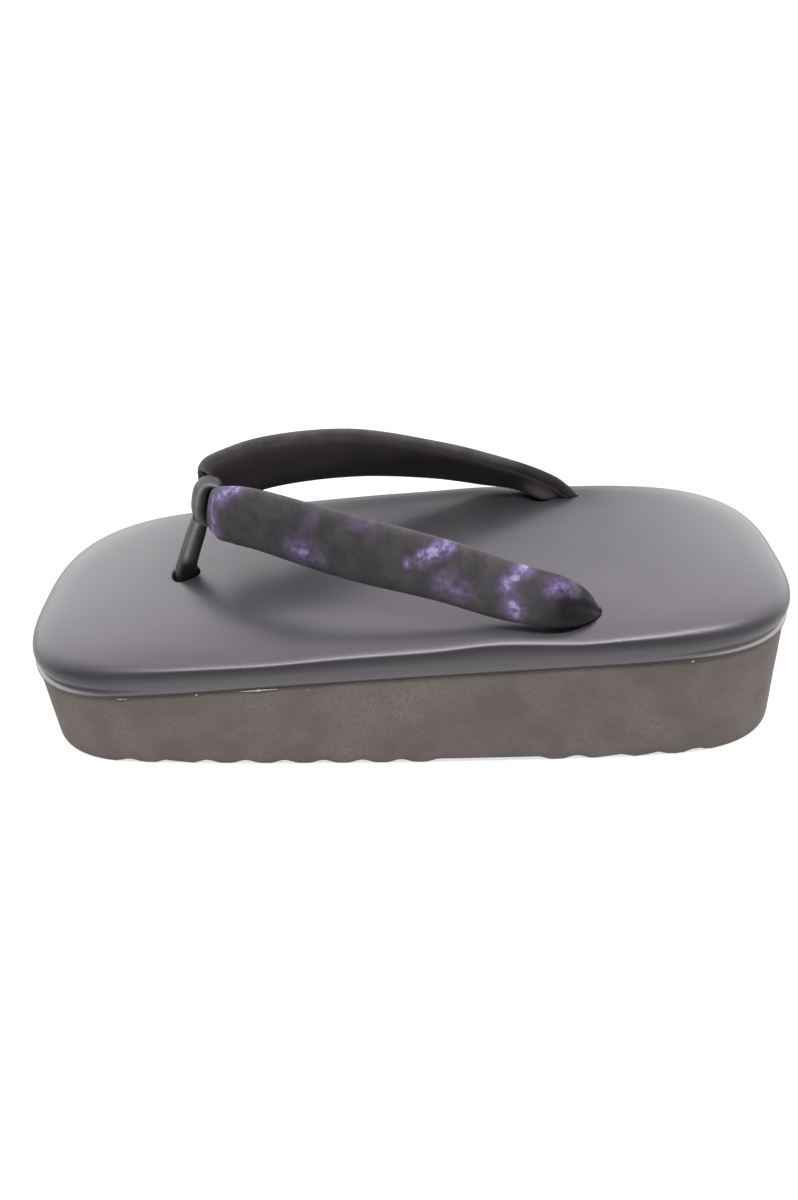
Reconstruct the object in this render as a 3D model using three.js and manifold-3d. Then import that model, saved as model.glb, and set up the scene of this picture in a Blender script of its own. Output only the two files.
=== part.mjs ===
import * as THREE from 'three';
import Module from 'manifold-3d';

// Setta sandal with a wedge sole, a padded footbed and a thong strap.
// Millimetres, +X to the toe, +Z up, the floor at z = 0.

// Plan of the footbed: a straight-sided middle between two rounded ends.
const footLength = 250;
const ballWidth = 92.2;
const heelWidth = 90.2;
const middleFullness = 1.4;
const toe = { end: 1, cap: 56, power: 2.82 };
const heel = { end: -1, cap: 62.9, power: 2.99 };

// Height of the seam between sole and footbed at both ends, and its sag to a curve.
const seamHeel = 40.3;
const seamToe = 22.1;
const seamArch = 4.4;
const clearance = 0.3;

// Sole: how far its bottom outline departs from the seam outline, and its wave tread.
const soleInset = 0.5;
const toeRecede = 4.8;
const heelFlare = 3.2;
const sideFlare = 1.6;
const toeBottomPower = 3.7;
const heelBottomPower = 3.25;
const edgeRound = 0.8;
const rippleDepth = 1.4;
const crestFlat = 2.6;
const toeSpring = 1.6;
const heelSpring = 0.5;
const ripples = [
  { first: 96.0, pitch: 12.6, count: 9 },
  { first: -49.2, pitch: 13.2, count: 5 },
];

// Edge of the footbed from the turned-under cover up to the crown: inset from the outline, height over the seam.
const footbedProfile = [
  { inset: 2.2, height: 0.3 },
  { inset: 0.7, height: 0.6 },
  { inset: 0.0, height: 1.7 },
  { inset: 0.3, height: 2.9 },
  { inset: 0.9, height: 4.3 },
  { inset: 0.8, height: 6.3 },
  { inset: 1.2, height: 8.2 },
  { inset: 2.3, height: 9.8 },
  { inset: 4.6, height: 10.9 },
  { inset: 9.0, height: 11.6 },
  { inset: 18.0, height: 12.3 },
  { inset: 32.0, height: 12.8 },
];

// Strap: centre, half width, half thickness, and the lean of its top edge towards the middle in degrees.
// The fold sits a little askew in its loop, so each side of it has rows of its own before the matching arms.
const foldRow = { x: 60.9, y: 0.0, z: 69.2, half: 5.8, thick: 2.0, lean: 14.0 };
const nearFoldRows = [
  { x: 60.2, y: 3.8, z: 69.1, half: 5.9, thick: 2.1, lean: 14.0 },
  { x: 58.6, y: 6.8, z: 69.3, half: 8.5, thick: 2.8, lean: 13.0 },
  { x: 56.6, y: 9.3, z: 70.4, half: 9.2, thick: 3.2, lean: 11.0 },
  { x: 52.7, y: 12.1, z: 71.9, half: 9.7, thick: 3.2, lean: 8.0 },
];
const farFoldRows = [
  { x: 61.7, y: 3.6, z: 69.1, half: 5.9, thick: 2.0, lean: 13.0 },
  { x: 63.4, y: 6.8, z: 69.4, half: 8.5, thick: 2.5, lean: 7.0 },
  { x: 61.4, y: 10.0, z: 70.5, half: 9.6, thick: 2.9, lean: 5.0 },
  { x: 55.6, y: 12.9, z: 72.1, half: 10.0, thick: 3.2, lean: 5.5 },
];
const armRows = [
  { x: 45.2, y: 17.0, z: 74.0, half: 10.0, thick: 3.2, lean: 6.7 },
  { x: 18.3, y: 27.4, z: 71.5, half: 10.1, thick: 3.2, lean: 12.3 },
  { x: -11.7, y: 32.5, z: 65.6, half: 9.2, thick: 3.2, lean: 23.9 },
  { x: -44.6, y: 36.5, z: 56.4, half: 6.9, thick: 3.1, lean: 37.2 },
  { x: -55.4, y: 35.0, z: 51.7, half: 4.1, thick: 2.8, lean: 43.8 },
  { x: -61.0, y: 33.4, z: 47.8, half: 3.0, thick: 2.5, lean: 45.0 },
  { x: -65.0, y: 32.3, z: 44.2, half: 2.3, thick: 2.1, lean: 45.0 },
];
const strapPower = 2.5;
const strapSteps = 4;
const strapSides = 16;
const holeClearance = 0.4;

// Front thong: a cord looped round the fold, and a stalk down into the toe hole.
const cordFront = 2.2;
const cordRear = 0.7;
const cordAcross = 2.7;
const foldRise = 0.6;
const foldSkew = 0.4;
const loopPower = 3.0;
const loopSteps = 28;
const thongSides = 12;
const stalkRows = [
  { x: 66.0, z: 63.0, along: 2.2, across: 2.7 },
  { x: 67.4, z: 58.4, along: 2.6, across: 2.9 },
  { x: 70.1, z: 52.8, along: 2.8, across: 3.1 },
  { x: 72.6, z: 47.2, along: 3.3, across: 3.4 },
  { x: 73.6, z: 42.0, along: 4.0, across: 3.9 },
  { x: 73.8, z: 38.0, along: 3.7, across: 3.6 },
  { x: 73.8, z: 33.5, along: 3.4, across: 3.3 },
];

const wasm = await Module();
wasm.setup();

function seamHeight(x) {
  const share = x / (footLength / 2);
  return (seamHeel + seamToe) / 2 + (seamToe - seamHeel) / 2 * share + seamArch * (1 - share * share);
}

function sideHalfWidth(x) {
  const middle = Math.max(0, 1 - (x / (footLength / 3)) ** 2);
  return (ballWidth + heelWidth) / 4 + (ballWidth - heelWidth) / footLength * x + middleFullness * middle;
}

// A place on the plan: which end it belongs to, how far into that end's cap (0 to 1), or x on the straight side.
function placeAt(x) {
  const end = x > 0 ? toe : heel;
  const capStart = footLength / 2 - end.cap;
  const into = (Math.abs(x) - capStart) / end.cap;
  return { end, into: Math.min(1, Math.max(0, into)), x };
}

// Point of the near side of the plan, moved in by inset, with the end cap lengthened by reach.
function planPoint(place, inset, reach, power) {
  const { end, into } = place;
  const capStart = end.end * (footLength / 2 - end.cap);
  const x = into > 0 ? capStart + end.end * into * (end.cap + reach - inset) : place.x;
  const shape = Math.max(0, 1 - into ** power) ** (1 / power);
  return new THREE.Vector2(x, (sideHalfWidth(x) - inset) * shape);
}

// A closed ring from points of the near side, toe to heel, and their mirror images back.
function mirroredRing(nearSide) {
  const farSide = nearSide.slice(1, -1).reverse().map((p) => new THREE.Vector3(p.x, -p.y, p.z));
  return [...nearSide, ...farSide];
}

// A closed solid through rings of equal count. Ends are closed by strips across, or the rings join up in a loop.
function solidFromRings(rings, looped = false) {
  const count = rings[0].length;
  const corners = [];
  const addQuad = (a, b, c, d) => corners.push([a, b, c], [a, c, d]);
  const bands = looped ? rings.length : rings.length - 1;
  for (let band = 0; band < bands; band += 1) {
    const low = band * count;
    const high = ((band + 1) % rings.length) * count;
    for (let i = 0; i < count; i += 1) {
      const j = (i + 1) % count;
      addQuad(low + i, low + j, high + j, high + i);
    }
  }
  if (!looped) {
    const last = (rings.length - 1) * count;
    for (let i = 0; i < count / 2; i += 1) {
      const back = (count - i) % count;
      const backNext = count - i - 1;
      addQuad(back, backNext, i + 1, i);
      addQuad(last + i, last + i + 1, last + backNext, last + back);
    }
  }
  const points = rings.flat();
  const faces = corners.filter((t) => new Set(t).size === 3);
  let volume = 0;
  for (const [a, b, c] of faces) {
    volume += points[a].dot(new THREE.Vector3().crossVectors(points[b], points[c]));
  }
  const index = faces.flatMap(([a, b, c]) => (volume > 0 ? [a, b, c] : [a, c, b]));
  const geometry = new THREE.BufferGeometry().setFromPoints(points);
  geometry.setIndex(index);
  return geometry;
}

function toManifold(geometry) {
  return new wasm.Manifold(new wasm.Mesh({
    numProp: 3,
    vertProperties: Float32Array.from(geometry.attributes.position.array),
    triVerts: Uint32Array.from(geometry.index.array),
  }));
}

function toGeometry(solid) {
  const mesh = solid.getMesh();
  const geometry = new THREE.BufferGeometry();
  geometry.setAttribute('position', new THREE.BufferAttribute(Float32Array.from(mesh.vertProperties), 3));
  geometry.setIndex(new THREE.BufferAttribute(Uint32Array.from(mesh.triVerts), 1));
  return geometry;
}

// Stations along an end cap, closer together towards its tip.
function capStations(end, steps) {
  const stations = [];
  for (let k = 0; k <= steps; k += 1) {
    const angle = Math.PI / 2 * (k / steps) ** 1.3;
    const into = Math.cos(angle) ** (2 / end.power);
    stations.push(end.end * (footLength / 2 - end.cap + Math.max(0, into) * end.cap));
  }
  return stations;
}

function sideStations(steps) {
  const from = footLength / 2 - toe.cap;
  const to = heel.cap - footLength / 2;
  return Array.from({ length: steps - 1 }, (_, k) => THREE.MathUtils.lerp(from, to, (k + 1) / steps));
}

// Height of the tread over the floor: flat crests, waves between them, a raised waist and lifted ends.
const crests = ripples.flatMap(({ first, pitch, count }) =>
  Array.from({ length: count }, (_, k) => first - pitch * k));
const frontCrest = Math.max(...crests);
const rearCrest = Math.min(...crests);
const waveHalf = (ripples[0].pitch - crestFlat) / 2;

function treadHeight(x) {
  if (x > frontCrest) {
    return toeSpring * ((x - frontCrest) / (footLength / 2 - frontCrest)) ** 2;
  }
  if (x < rearCrest) {
    return heelSpring * ((rearCrest - x) / (footLength / 2 + rearCrest)) ** 2;
  }
  const offCrest = Math.min(...crests.map((crest) => Math.abs(x - crest))) - crestFlat / 2;
  const rise = Math.min(1, Math.max(0, offCrest / waveHalf));
  return rippleDepth * Math.sin(Math.PI / 2 * rise) ** 2;
}

// Sole: straight walls from the seam down to a bottom outline that recedes at the toe and flares at the heel.
function makeSole() {
  const waveStations = crests.flatMap((crest) => [-1, -0.65, -0.3, 0, 0.3, 0.65, 1].flatMap((share) => {
    const side = share < 0 ? -1 : 1;
    return share === 0
      ? [crest - crestFlat / 2, crest + crestFlat / 2]
      : [crest + side * crestFlat / 2 + share * waveHalf];
  }));
  const ends = [...capStations(toe, 14), ...capStations(heel, 14)];
  const wanted = [...waveStations, ...ends].sort((a, b) => b - a);
  const stations = wanted.filter((x, i) => i === 0 || wanted[i - 1] - x > 0.02);
  const bottomReach = (place) => (place.end === toe ? -toeRecede : heelFlare);
  const bottomPower = (place) => (place.end === toe ? toeBottomPower : heelBottomPower);
  const levels = [
    { share: 0, inset: edgeRound, lift: 0 },
    { share: 0, inset: 0, lift: edgeRound },
    { share: 1, inset: 0, lift: 0 },
  ];
  const rings = levels.map(({ share, inset, lift }) => mirroredRing(stations.map((x) => {
    const place = placeAt(x);
    const low = planPoint(place, inset - sideFlare, bottomReach(place) - sideFlare, bottomPower(place));
    const high = planPoint(place, soleInset, 0, place.end.power);
    return share === 0
      ? new THREE.Vector3(low.x, low.y, treadHeight(low.x) + lift)
      : new THREE.Vector3(high.x, high.y, seamHeight(high.x));
  })));
  return solidFromRings(rings);
}

// Footbed without its holes: the edge profile carried round the plan.
function makeFootbedBlank() {
  const stations = [...capStations(toe, 14), ...sideStations(12), ...capStations(heel, 14).reverse()];
  const rings = footbedProfile.map(({ inset, height }) => mirroredRing(stations.map((x) => {
    const place = placeAt(x);
    const p = planPoint(place, inset, 0, place.end.power);
    return new THREE.Vector3(p.x, p.y, seamHeight(p.x) + height);
  })));
  return toManifold(solidFromRings(rings));
}

// Superellipse section about a centre, in the plane of two unit directions.
function sectionRing(centre, wide, thin, half, thick, power, sides) {
  return Array.from({ length: sides }, (_, i) => {
    const angle = 2 * Math.PI * i / sides;
    const c = Math.cos(angle);
    const s = Math.sin(angle);
    return centre.clone()
      .addScaledVector(wide, half * Math.sign(c) * Math.abs(c) ** (2 / power))
      .addScaledVector(thin, thick * Math.sign(s) * Math.abs(s) ** (2 / power));
  });
}

// Strap from the far tip round the fold to the near tip. Grown by some clearance, a stretch of it cuts its own hole.
function strapRings(rows, grow) {
  const path = new THREE.CatmullRomCurve3(rows.map((r) => new THREE.Vector3(r.x, r.y, r.z)));
  const sizes = new THREE.CatmullRomCurve3(rows.map((r) => new THREE.Vector3(r.half, r.thick, r.lean)));
  const steps = (rows.length - 1) * strapSteps;
  return Array.from({ length: steps + 1 }, (_, k) => {
    const centre = path.getPoint(k / steps);
    const along = path.getTangent(k / steps);
    const size = sizes.getPoint(k / steps);
    const lean = THREE.MathUtils.degToRad(size.z);
    const outward = new THREE.Vector3(along.y, -along.x, 0).normalize();
    const wide = new THREE.Vector3(0, 0, Math.cos(lean)).addScaledVector(outward, -Math.sin(lean));
    wide.addScaledVector(along, -wide.dot(along)).normalize();
    const thin = new THREE.Vector3().crossVectors(along, wide);
    return sectionRing(centre, wide, thin, size.x + grow, size.y + grow, strapPower, strapSides);
  });
}

const farSide = [...farFoldRows, ...armRows].map((row) => ({ ...row, y: -row.y }));
const wholeStrap = [...farSide.reverse(), foldRow, ...nearFoldRows, ...armRows];

function strapTipCutters() {
  const rings = strapRings(wholeStrap, holeClearance);
  const tipRings = strapSteps * 4 + 1;
  const lengthened = rings.slice(-tipRings);
  const end = lengthened[lengthened.length - 1];
  const before = lengthened[lengthened.length - 2];
  const onward = end[0].clone().sub(before[0]).normalize().multiplyScalar(2 * holeClearance);
  lengthened.push(end.map((p) => p.clone().add(onward)));
  const near = toManifold(solidFromRings(lengthened));
  return [near, near.mirror([0, 1, 0])];
}

// Thong loop in the plane of symmetry, leaning with the fold that it holds and clear of it.
function makeLoop() {
  const rings = Array.from({ length: loopSteps }, (_, k) => {
    const angle = 2 * Math.PI * k / loopSteps;
    const c = Math.cos(angle);
    const s = Math.sin(angle);
    const cord = THREE.MathUtils.lerp(cordRear, cordFront, ((1 + c) / 2) ** 3);
    const reachX = foldRow.thick + foldSkew + clearance + cord;
    const reachZ = foldRow.half + foldRise + clearance + cord;
    const x = reachX * Math.sign(c) * Math.abs(c) ** (2 / loopPower);
    const z = reachZ * Math.sign(s) * Math.abs(s) ** (2 / loopPower);
    const normal = new THREE.Vector3(
      Math.sign(x) * Math.abs(x / reachX) ** (loopPower - 1) / reachX,
      0,
      Math.sign(z) * Math.abs(z / reachZ) ** (loopPower - 1) / reachZ,
    ).normalize();
    const across = new THREE.Vector3(0, 1, 0);
    return sectionRing(new THREE.Vector3(x, 0, z), normal, across, cord, cordAcross, 2, thongSides);
  });
  const geometry = solidFromRings(rings, true);
  geometry.rotateY(-THREE.MathUtils.degToRad(foldRow.lean));
  geometry.translate(foldRow.x, 0, foldRow.z);
  return toManifold(geometry);
}

function makeStalk(rows, grow) {
  const path = new THREE.CatmullRomCurve3(rows.map((r) => new THREE.Vector3(r.x, 0, r.z)));
  const sizes = new THREE.CatmullRomCurve3(rows.map((r) => new THREE.Vector3(r.along, r.across, 0)));
  const steps = (rows.length - 1) * 2;
  const rings = Array.from({ length: steps + 1 }, (_, k) => {
    const along = path.getTangent(k / steps);
    const size = sizes.getPoint(k / steps);
    const front = new THREE.Vector3(-along.z, 0, along.x);
    const side = new THREE.Vector3(0, 1, 0);
    return sectionRing(path.getPoint(k / steps), front, side, size.x + grow, size.y + grow, 2.2, thongSides);
  });
  return toManifold(solidFromRings(rings));
}

function toeHoleCutter() {
  const foot = stalkRows.slice(-4);
  const bottom = foot[foot.length - 1];
  return makeStalk([...foot, { ...bottom, z: bottom.z - 1 }], holeClearance);
}

const footbed = [...strapTipCutters(), toeHoleCutter()].reduce(
  (solid, cutter) => solid.subtract(cutter), makeFootbedBlank());
const thong = makeLoop().add(makeStalk(stalkRows, 0));

const finishes = {
  sole: { color: 0x4a4947, roughness: 0.9, metalness: 0 },
  footbed: { color: 0x3b3a3d, roughness: 0.45, metalness: 0 },
  strap: { color: 0x2a2830, roughness: 0.95, metalness: 0 },
  front_thong: { color: 0x252527, roughness: 0.35, metalness: 0 },
};
const geometries = {
  sole: makeSole(),
  footbed: toGeometry(footbed),
  strap: solidFromRings(strapRings(wholeStrap, 0)),
  front_thong: toGeometry(thong),
};

// The flared heel reaches further back than the toe reaches forward, so the sandal is moved to its middle.
const sandal = new THREE.Group();
sandal.position.x = heelFlare / 2;
for (const [name, geometry] of Object.entries(geometries)) {
  const mesh = new THREE.Mesh(geometry, new THREE.MeshStandardMaterial(finishes[name]));
  mesh.name = name;
  sandal.add(mesh);
}

const part = new THREE.Group();
part.add(sandal);
export default part;
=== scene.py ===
import math
import bpy
import bmesh
from mathutils import Matrix, Vector, noise
from mathutils.bvhtree import BVHTree


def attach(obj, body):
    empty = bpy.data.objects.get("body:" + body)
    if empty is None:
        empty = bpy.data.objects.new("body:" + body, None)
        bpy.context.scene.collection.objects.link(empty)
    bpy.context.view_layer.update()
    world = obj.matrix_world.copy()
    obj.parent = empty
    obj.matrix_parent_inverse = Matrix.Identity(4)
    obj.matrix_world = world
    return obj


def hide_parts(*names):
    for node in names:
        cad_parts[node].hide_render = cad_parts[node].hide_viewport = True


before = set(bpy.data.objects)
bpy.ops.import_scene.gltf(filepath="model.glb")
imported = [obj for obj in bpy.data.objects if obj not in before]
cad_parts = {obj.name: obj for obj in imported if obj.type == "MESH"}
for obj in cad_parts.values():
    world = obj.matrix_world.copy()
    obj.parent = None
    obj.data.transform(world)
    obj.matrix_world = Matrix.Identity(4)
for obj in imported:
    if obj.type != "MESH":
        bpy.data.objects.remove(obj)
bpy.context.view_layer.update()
scene = bpy.context.scene

mm = 0.001
middleShift = 1.6   # the footbed's middle lies this far ahead of the part's middle, in mm
upward = Vector((0, 0, 1))
nearward = Vector((0, 1, 0))

# the plan that sole and footbed share, and the height of the seam between them, in mm
plan = {"length": 250.0, "ballWidth": 92.2, "heelWidth": 90.2, "fullness": 1.4, "bunching": 1.3}
toeEnd = {"sign": 1, "cap": 56.0, "power": 2.82}
heelEnd = {"sign": -1, "cap": 62.9, "power": 2.99}
seam = {"heel": 40.3, "toe": 22.1, "arch": 4.4}


def mix(a, b, share):
    return a + (b - a) * share


def clamp(value, low=0.0, high=1.0):
    return max(low, min(high, value))


def smooth(low, high, value):
    t = clamp((value - low) / (high - low))
    return t * t * (3 - 2 * t)


def bell(distance, spread):
    return math.exp(-(distance / spread) ** 2)


def signedPower(value, power):
    return math.copysign(abs(value) ** power, value)


def seamHeight(x):
    share = x / (plan["length"] / 2)
    middle = (seam["heel"] + seam["toe"]) / 2
    return middle + (seam["toe"] - seam["heel"]) / 2 * share + seam["arch"] * (1 - share * share)


def sideHalfWidth(x):
    swell = max(0.0, 1 - (x / (plan["length"] / 3)) ** 2)
    taper = (plan["ballWidth"] - plan["heelWidth"]) / plan["length"] * x
    return (plan["ballWidth"] + plan["heelWidth"]) / 4 + taper + plan["fullness"] * swell


def placeAt(x):
    end = toeEnd if x > 0 else heelEnd
    into = (abs(x) - (plan["length"] / 2 - end["cap"])) / end["cap"]
    return end, clamp(into), x


def planPoint(place, inset, reach=0.0, power=None):
    end, into, x = place
    power = power or end["power"]
    if into > 0:
        x = end["sign"] * (plan["length"] / 2 - end["cap"] + into * (end["cap"] + reach - inset))
    shape = max(0.0, 1 - into ** power) ** (1 / power)
    return x, (sideHalfWidth(x) - inset) * shape


def capStations(end, steps):
    start = plan["length"] / 2 - end["cap"]
    angles = [math.pi / 2 * (k / steps) ** plan["bunching"] for k in range(steps + 1)]
    shares = [max(0.0, math.cos(a)) ** (2 / end["power"]) for a in angles]
    return [end["sign"] * (start + share * end["cap"]) for share in shares]


def sideStations(spacing):
    first = plan["length"] / 2 - toeEnd["cap"]
    last = heelEnd["cap"] - plan["length"] / 2
    steps = int((first - last) / spacing)
    return [mix(first, last, k / steps) for k in range(1, steps)]


def outlineStations(capSteps, spacing):
    return capStations(toeEnd, capSteps) + sideStations(spacing) + capStations(heelEnd, capSteps)[::-1]


def mirroredRing(nearSide):
    return nearSide + [Vector((p.x, -p.y, p.z)) for p in nearSide[-2:0:-1]]


def ringFaces(count, rings, first=0, looped=False):
    # faces of a tube through rings of count points each, with closed ends unless it is looped
    faces = []
    for ring in range(rings if looped else rings - 1):
        low, high = first + ring * count, first + (ring + 1) % rings * count
        faces += [(low + i, low + (i + 1) % count, high + (i + 1) % count, high + i) for i in range(count)]
    if not looped:
        last = first + (rings - 1) * count
        for i in range(count // 2):
            back, backNext = (count - i) % count, count - i - 1
            faces.append((first + back, first + backNext, first + i + 1, first + i))
            faces.append((last + i, last + i + 1, last + backNext, last + back))
    return faces


def meshObject(name, points, faces, sharp):
    # a smooth mesh in metres, from points in mm, with edges kept sharp above an angle in degrees
    clean = [tuple(dict.fromkeys(face)) for face in faces]
    mesh = bpy.data.meshes.new(name)
    mesh.from_pydata([((p.x + middleShift) * mm, p.y * mm, p.z * mm) for p in points], [],
                     [face for face in clean if len(face) > 2])
    shell = bmesh.new()
    shell.from_mesh(mesh)
    bmesh.ops.recalc_face_normals(shell, faces=shell.faces)
    shell.to_mesh(mesh)
    shell.free()
    mesh.polygons.foreach_set("use_smooth", [True] * len(mesh.polygons))
    mesh.set_sharp_from_angle(angle=math.radians(sharp))
    piece = bpy.data.objects.new(name, mesh)
    scene.collection.objects.link(piece)
    return piece


def meshFromRings(name, rings, sharp, looped=False):
    faces = ringFaces(len(rings[0]), len(rings), looped=looped)
    return meshObject(name, [p for ring in rings for p in ring], faces, sharp)


def paintPoints(piece, name, values):
    marks = piece.data.color_attributes.new(name, "FLOAT_COLOR", "POINT")
    for i, value in enumerate(values):
        marks.data[i].color = (value, value, value, 1.0)


def curveAt(points, t):
    # centripetal Catmull-Rom point and direction, t from 0 to 1 over the rows
    place = (len(points) - 1) * t
    i = min(int(place), len(points) - 2)
    w = place - i
    p1, p2 = points[i], points[i + 1]
    p0 = points[i - 1] if i > 0 else p1 * 2 - p2
    p3 = points[i + 2] if i + 2 < len(points) else p2 * 2 - p1
    d1 = (p2 - p1).length ** 0.5 or 1.0
    d0 = (p1 - p0).length ** 0.5 or d1
    d2 = (p3 - p2).length ** 0.5 or d1
    t1 = ((p1 - p0) / d0 - (p2 - p0) / (d0 + d1) + (p2 - p1) / d1) * d1
    t2 = ((p2 - p1) / d1 - (p3 - p1) / (d1 + d2) + (p3 - p2) / d2) * d1
    c2 = (p2 - p1) * 3 - t1 * 2 - t2
    c3 = (p1 - p2) * 2 + t1 + t2
    return p1 + t1 * w + c2 * w ** 2 + c3 * w ** 3, t1 + c2 * (2 * w) + c3 * (3 * w * w)


def ovalRing(centre, wide, thin, half, thick, power, sides):
    ring = []
    for i in range(sides):
        c, s = math.cos(2 * math.pi * i / sides), math.sin(2 * math.pi * i / sides)
        reach, depth = half * signedPower(c, 2 / power), thick * signedPower(s, 2 / power)
        ring.append(centre + wide * reach + thin * depth)
    return ring


# shader helpers
def feed(tree, socket, value):
    if isinstance(value, bpy.types.NodeSocket):
        tree.links.new(value, socket)
    else:
        socket.default_value = value


def addNode(tree, kind, inputs=None, **settings):
    node = tree.nodes.new(kind)
    for key, value in settings.items():
        setattr(node, key, value)
    for key, value in (inputs or {}).items():
        feed(tree, node.inputs[key], value)
    return node


def mathNode(tree, operation, *values):
    return addNode(tree, "ShaderNodeMath", dict(enumerate(values)), operation=operation).outputs[0]


def rangeNode(tree, value, low, high, start=0.0, end=1.0, **settings):
    spans = {"Value": value, "From Min": low, "From Max": high, "To Min": start, "To Max": end}
    return addNode(tree, "ShaderNodeMapRange", spans, **settings).outputs["Result"]


def colourMix(tree, factor, a, b):
    return addNode(tree, "ShaderNodeMix", {0: factor, 6: a, 7: b}, data_type="RGBA").outputs[2]


def painted(tree, name):
    return addNode(tree, "ShaderNodeAttribute", attribute_name=name).outputs["Fac"]


def newGroup(name, inputs, output):
    group = bpy.data.node_groups.new(name, "ShaderNodeTree")
    for label, default in inputs.items():
        socket = group.interface.new_socket(label, in_out="INPUT", socket_type="NodeSocketFloat")
        socket.default_value = default
    group.interface.new_socket(output, in_out="OUTPUT", socket_type="NodeSocketFloat")
    return group, group.nodes.new("NodeGroupInput").outputs, group.nodes.new("NodeGroupOutput").inputs


def makeCloudGroup():
    # soft cloudy mask from 0 to 1, used for worn, dyed and foamed surfaces
    group, given, result = newGroup("softClouds", {"Scale": 60.0, "From": 0.35, "To": 0.65}, "Mask")
    place = addNode(group, "ShaderNodeTexCoord").outputs["Object"]
    settings = {"Vector": place, "Scale": given["Scale"], "Detail": 4.0, "Roughness": 0.6}
    cloud = addNode(group, "ShaderNodeTexNoise", settings).outputs["Fac"]
    mask = rangeNode(group, cloud, given["From"], given["To"], interpolation_type="SMOOTHSTEP")
    feed(group, result["Mask"], mask)
    return group


def makeGrainGroup():
    # pebbled leather grain: rounded cells with a finer noise in them
    group, given, result = newGroup("leatherGrain", {"Scale": 1600.0}, "Height")
    place = addNode(group, "ShaderNodeTexCoord").outputs["Object"]
    settings = {"Vector": place, "Scale": given["Scale"]}
    cells = addNode(group, "ShaderNodeTexVoronoi", settings, feature="F1").outputs["Distance"]
    fine = addNode(group, "ShaderNodeTexNoise", dict(settings, Detail=3.0)).outputs["Fac"]
    feed(group, result["Height"], mathNode(group, "ADD", cells, fine))
    return group


cloudGroup = makeCloudGroup()
grainGroup = makeGrainGroup()


def cloudMask(tree, scale, low, high):
    clouds = {"Scale": scale, "From": low, "To": high}
    return addNode(tree, "ShaderNodeGroup", clouds, node_tree=cloudGroup).outputs["Mask"]


def leatherGrain(tree, scale):
    return addNode(tree, "ShaderNodeGroup", {"Scale": scale}, node_tree=grainGroup).outputs["Height"]


def newMaterial(name, settings):
    material = bpy.data.materials.new(name)
    material.use_nodes = True
    shader = material.node_tree.nodes["Principled BSDF"]
    for label, value in settings.items():
        shader.inputs[label].default_value = value
    return material, material.node_tree, shader


def addRelief(tree, shader, height, strength, distance):
    relief = {"Height": height, "Strength": strength, "Distance": distance}
    bump = addNode(tree, "ShaderNodeBump", relief)
    feed(tree, shader.inputs["Normal"], bump.outputs["Normal"])


def grey(level, warm=0.0, blush=0.0):
    return (level * (1 + warm + blush), level, level * (1 - warm + blush), 1.0)


# in the looks below, clouds are given as scale, from and to, and relief as strength and distance
# sole: foam block with a wave tread
soleBlock = {
    "inset": 0.5, "toeRecede": 4.8, "heelFlare": 3.2, "sideFlare": 1.6, "toePower": 3.7, "heelPower": 3.25,
    "edgeRound": 0.8, "edgeTurns": (0, 12, 30, 50, 70, 90), "waveDepth": 1.4, "crestFlat": 2.6,
    "toeSpring": 1.6, "heelSpring": 0.5, "topInsets": (1.2, 4.0),
    "capSteps": 46, "spacing": 1.1, "wallSteps": 14, "sharp": 35,
    "unevenness": 0.14, "swells": 0.035, "dents": 0.11, "dentShare": 0.5, "aheadShare": 0.2,
}
waveRows = [{"first": 96.0, "pitch": 12.6, "count": 9}, {"first": -49.2, "pitch": 13.2, "count": 5}]
crests = [row["first"] - row["pitch"] * k for row in waveRows for k in range(row["count"])]
foamLook = {
    "clouds": (70.0, 0.3, 0.72), "dark": grey(0.072, 0.15, 0.05), "light": grey(0.108, 0.15, 0.05),
    "stains": (24.0, 0.52, 0.8), "stain": grey(0.134, 0.15, 0.05),
    "cells": (1500.0, 0.35, 0.7), "cell": grey(0.077, 0.15, 0.05), "relief": (0.25, 0.00015),
    "specks": (420.0, 0.735, 0.78), "speck": grey(0.3, 0.03),
}


def treadHeight(x):
    half = plan["length"] / 2
    if x > crests[0]:
        return soleBlock["toeSpring"] * ((x - crests[0]) / (half - crests[0])) ** 2
    if x < crests[-1]:
        return soleBlock["heelSpring"] * ((crests[-1] - x) / (half + crests[-1])) ** 2
    off = min(abs(x - crest) for crest in crests) - soleBlock["crestFlat"] / 2
    rise = clamp(off / ((waveRows[0]["pitch"] - soleBlock["crestFlat"]) / 2))
    return soleBlock["waveDepth"] * math.sin(math.pi / 2 * rise) ** 2


def treadPoint(x, inset, lift):
    place = placeAt(x)
    front = place[0] is toeEnd
    reach = -soleBlock["toeRecede"] if front else soleBlock["heelFlare"]
    power = soleBlock["toePower"] if front else soleBlock["heelPower"]
    px, py = planPoint(place, inset - soleBlock["sideFlare"], reach - soleBlock["sideFlare"], power)
    return Vector((px, py, treadHeight(px) + lift))


def seamPoint(x, inset):
    px, py = planPoint(placeAt(x), inset)
    return Vector((px, py, seamHeight(px)))


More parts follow.
